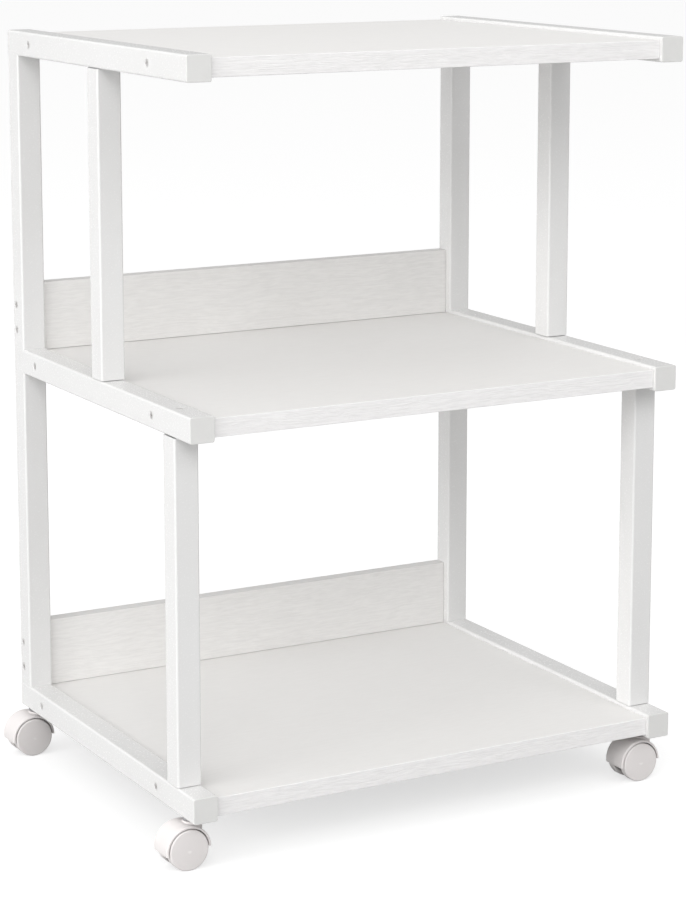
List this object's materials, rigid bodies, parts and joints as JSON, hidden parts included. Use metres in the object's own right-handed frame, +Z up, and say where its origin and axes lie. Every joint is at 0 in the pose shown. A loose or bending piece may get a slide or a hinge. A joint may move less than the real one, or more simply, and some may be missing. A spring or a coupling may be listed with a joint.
{
  "type": "mobile printer stand",
  "caption": "White mobile printer stand: square-tube side frames, open shelves with low back boards, set-back upper posts, hooded swivel casters.",
  "frame": {"origin": "centre of the whole footprint on the floor, with the casters trailing to the left", "axes": "+Z up, the open front faces -Y, +X to the right seen from the front"},
  "size_m": [0.5617, 0.4236, 0.765],
  "materials": {
    "frame_paint": "white powder coat, fine satin texture",
    "shelf_foil": "white foil over particle board, fine wood-grain emboss",
    "edge_band": "white edge band with embossed wood grain",
    "cap_plastic": "white moulded plastic",
    "screw_steel": "zinc-plated steel",
    "zinc_steel": "zinc-plated steel",
    "caster_plastic": "warm off-white moulded nylon"
  },
  "bodies": {
    "root": {"left_rear_post": "frame_paint", "left_bottom_rail": "frame_paint", "left_middle_rail": "frame_paint", "left_top_rail": "frame_paint", "left_lower_front_post": "frame_paint", "left_upper_front_post": "frame_paint", "right_rear_post": "frame_paint", "right_bottom_rail": "frame_paint", "right_middle_rail": "frame_paint", "right_top_rail": "frame_paint", "right_lower_front_post": "frame_paint", "right_upper_front_post": "frame_paint", "bottom_shelf": "shelf_foil", "bottom_shelf_edge_bands": "edge_band", "bottom_back_board": "shelf_foil", "middle_shelf": "shelf_foil", "middle_shelf_edge_bands": "edge_band", "middle_back_board": "shelf_foil", "top_shelf": "shelf_foil", "top_shelf_edge_bands": "edge_band", "rail_front_caps": "cap_plastic", "rail_rear_caps": "cap_plastic", "shelf_screws": "screw_steel", "back_board_screws": "screw_steel", "post_screws": "screw_steel", "post_threaded_plugs": "zinc_steel", "upper_post_spigots": "zinc_steel", "caster_nuts": "zinc_steel", "caster_retaining_rings": "zinc_steel", "front_left_caster_stem": "zinc_steel", "front_right_caster_stem": "zinc_steel", "rear_left_caster_stem": "zinc_steel", "rear_right_caster_stem": "zinc_steel"},
    "front_left_swivel": {"front_left_caster_hood": "caster_plastic"},
    "front_left_wheels": {"front_left_caster_axle": "zinc_steel", "front_left_caster_front_wheel": "caster_plastic", "front_left_caster_back_wheel": "caster_plastic"},
    "front_right_swivel": {"front_right_caster_hood": "caster_plastic"},
    "front_right_wheels": {"front_right_caster_axle": "zinc_steel", "front_right_caster_front_wheel": "caster_plastic", "front_right_caster_back_wheel": "caster_plastic"},
    "rear_left_swivel": {"rear_left_caster_hood": "caster_plastic"},
    "rear_left_wheels": {"rear_left_caster_axle": "zinc_steel", "rear_left_caster_front_wheel": "caster_plastic", "rear_left_caster_back_wheel": "caster_plastic"},
    "rear_right_swivel": {"rear_right_caster_hood": "caster_plastic"},
    "rear_right_wheels": {"rear_right_caster_axle": "zinc_steel", "rear_right_caster_front_wheel": "caster_plastic", "rear_right_caster_back_wheel": "caster_plastic"}
  },
  "joints": [
    {"name": "front_left_swivel_turn", "type": "hinge", "parent": "root", "child": "front_left_swivel", "pos_m": [-0.24705, -0.18125, 0.045], "axis": [0, 0, 1], "continuous": true},
    {"name": "front_left_wheel_spin", "type": "hinge", "parent": "front_left_swivel", "child": "front_left_wheels", "pos_m": [-0.25705, -0.18125, 0.02], "axis": [0, 1, 0], "continuous": true},
    {"name": "front_right_swivel_turn", "type": "hinge", "parent": "root", "child": "front_right_swivel", "pos_m": [0.26795, -0.18125, 0.045], "axis": [0, 0, 1], "continuous": true},
    {"name": "front_right_wheel_spin", "type": "hinge", "parent": "front_right_swivel", "child": "front_right_wheels", "pos_m": [0.25795, -0.18125, 0.02], "axis": [0, 1, 0], "continuous": true},
    {"name": "rear_left_swivel_turn", "type": "hinge", "parent": "root", "child": "rear_left_swivel", "pos_m": [-0.24705, 0.19575, 0.045], "axis": [0, 0, 1], "continuous": true},
    {"name": "rear_left_wheel_spin", "type": "hinge", "parent": "rear_left_swivel", "child": "rear_left_wheels", "pos_m": [-0.25705, 0.19575, 0.02], "axis": [0, 1, 0], "continuous": true},
    {"name": "rear_right_swivel_turn", "type": "hinge", "parent": "root", "child": "rear_right_swivel", "pos_m": [0.26795, 0.19575, 0.045], "axis": [0, 0, 1], "continuous": true},
    {"name": "rear_right_wheel_spin", "type": "hinge", "parent": "rear_right_swivel", "child": "rear_right_wheels", "pos_m": [0.25795, 0.19575, 0.02], "axis": [0, 1, 0], "continuous": true}
  ]
}
